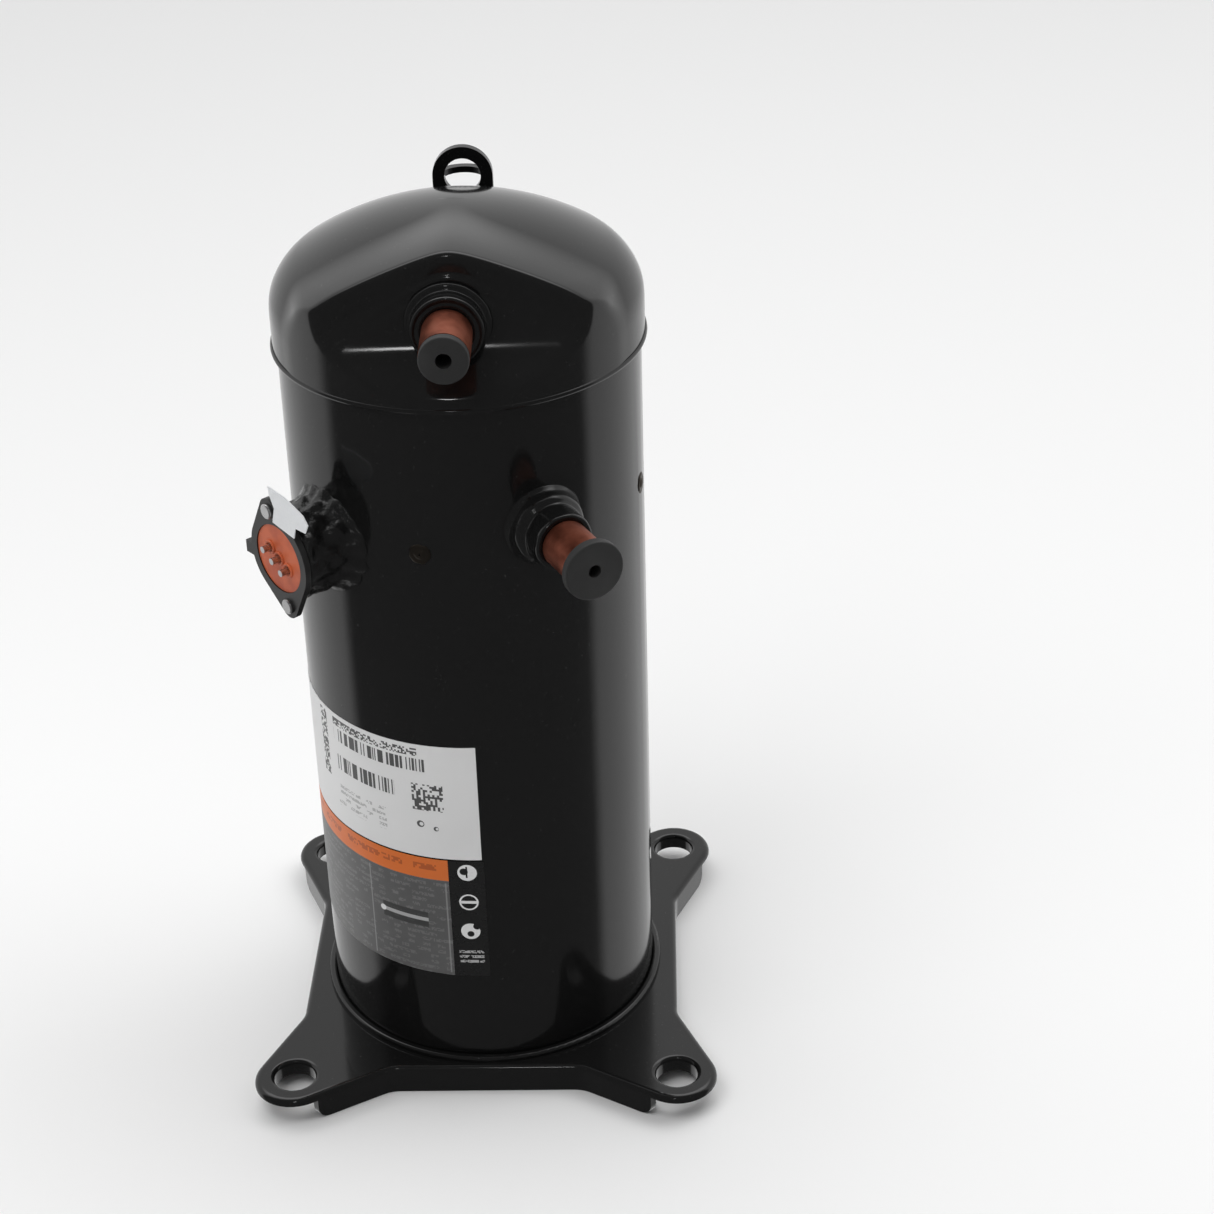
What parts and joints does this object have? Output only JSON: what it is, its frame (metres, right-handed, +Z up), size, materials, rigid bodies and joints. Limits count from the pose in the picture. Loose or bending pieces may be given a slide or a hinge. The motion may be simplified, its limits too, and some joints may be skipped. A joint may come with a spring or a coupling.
{
  "type": "scroll compressor",
  "caption": "Upright hermetic scroll compressor: a black steel shell with a domed cap, copper suction and discharge stubs, a terminal fence and a four-foot base.",
  "frame": {"origin": "centre of the four foot holes, in the plane in which the feet bear on their grommets", "axes": "+Z up the shaft, -Y towards the discharge stub at the front, +X to the right of someone facing the discharge stub"},
  "size_m": [0.2304, 0.2383, 0.4391],
  "materials": {
    "black_paint": "gloss black baked enamel",
    "black_polymer": "glossy black moulding",
    "copper": "dull drawn copper",
    "plug_rubber": "matt dark grey rubber",
    "orange_insulator": "satin orange moulding",
    "bright_steel": "bright plated",
    "seal_glass": "fused glass",
    "white_label": "satin printed film",
    "grey_label": "satin printed film with an orange header",
    "black_label": "satin printed film",
    "tag_paper": "coated paper",
    "cast_iron": "machined grey iron",
    "machined_steel": "turned steel",
    "lamination": "stacked electrical steel",
    "winding_enamel": "enamelled copper wire",
    "cast_aluminium": "as cast",
    "bearing_bronze": "bored bronze",
    "protector_case": "dark shell",
    "lead_sleeve": "woven sleeve",
    "magnet_ferrite": "sintered ferrite"
  },
  "bodies": {
    "casing": {"base_plate": "black_paint", "bottom_cap": "black_paint", "centre_shell": "black_paint", "top_cap": "black_paint", "lifting_lug": "black_paint", "discharge_fitting": "black_paint", "suction_fitting": "black_paint", "plug_welds": "black_paint", "terminal_fence": "black_polymer", "terminal_flange": "black_polymer", "discharge_tube": "copper", "suction_tube": "copper", "terminal_insulator": "orange_insulator", "terminal_pins": "bright_steel", "terminal_screws": "bright_steel", "terminal_seals": "seal_glass", "nameplate_label": "white_label", "warning_label": "grey_label", "icon_label": "black_label", "terminal_tag": "tag_paper", "main_bearing_housing": "cast_iron", "lower_bearing_bracket": "cast_iron", "muffler_plate": "machined_steel", "check_valve_retainer": "machined_steel", "relief_cartridge": "machined_steel", "scroll_sleeves": "machined_steel", "scroll_bolts": "machined_steel", "thrust_washer": "machined_steel", "suction_baffle": "machined_steel", "terminal_body": "machined_steel", "stator_core": "lamination", "stator_winding": "winding_enamel", "main_bush": "bearing_bronze", "lower_bush": "bearing_bronze", "motor_protector": "protector_case", "motor_leads": "lead_sleeve", "lead_cluster_plug": "lead_sleeve", "oil_magnet": "magnet_ferrite"},
    "crank": {"crankshaft": "machined_steel", "rotor_core": "lamination", "rotor_end_rings": "cast_aluminium", "upper_counterweight": "machined_steel", "lower_counterweight": "machined_steel"},
    "bushing": {"drive_bushing": "machined_steel"},
    "orbiter": {"orbiting_scroll": "cast_iron", "hub_bush": "bearing_bronze"},
    "oldham": {"oldham_ring": "cast_aluminium"},
    "fixed": {"fixed_scroll": "cast_iron"},
    "seal": {"floating_seal": "cast_iron"},
    "valve": {"check_valve_disc": "machined_steel"},
    "suction_cap": {"suction_plug": "plug_rubber"},
    "discharge_cap": {"discharge_plug": "plug_rubber"}
  },
  "joints": [
    {"name": "crank_spin", "type": "hinge", "parent": "casing", "child": "crank", "pos_m": [0, 0, 0.15], "axis": [0, 0, 1], "continuous": true},
    {"name": "bushing_slide", "type": "slide", "parent": "crank", "child": "bushing", "axis": [-1, 0, 0], "range_m": [0, 0.0003]},
    {"name": "scroll_orbit", "type": "hinge", "parent": "bushing", "child": "orbiter", "pos_m": [0.004, 0, 0.3], "axis": [0, 0, 1], "continuous": true},
    {"name": "oldham_slide", "type": "slide", "parent": "casing", "child": "oldham", "axis": [1, 0, 0], "range_m": [-0.008, 0]},
    {"name": "fixed_scroll_float", "type": "slide", "parent": "casing", "child": "fixed", "axis": [0, 0, 1], "range_m": [0, 0.0008]},
    {"name": "seal_float", "type": "slide", "parent": "fixed", "child": "seal", "axis": [0, 0, 1], "range_m": [0, 0.0008]},
    {"name": "check_valve_lift", "type": "slide", "parent": "casing", "child": "valve", "axis": [0, 0, 1], "range_m": [0, 0.0025]},
    {"name": "suction_plug_pull", "type": "slide", "parent": "casing", "child": "suction_cap", "axis": [0.4741, -0.8805, 0], "range_m": [0, 0.06]},
    {"name": "discharge_plug_pull", "type": "slide", "parent": "casing", "child": "discharge_cap", "axis": [0.0175, -0.9998, 0], "range_m": [0, 0.06]}
  ],
  "couplings": [
    {"joint": "scroll_orbit", "follows": "crank_spin", "ratio": -1}
  ]
}
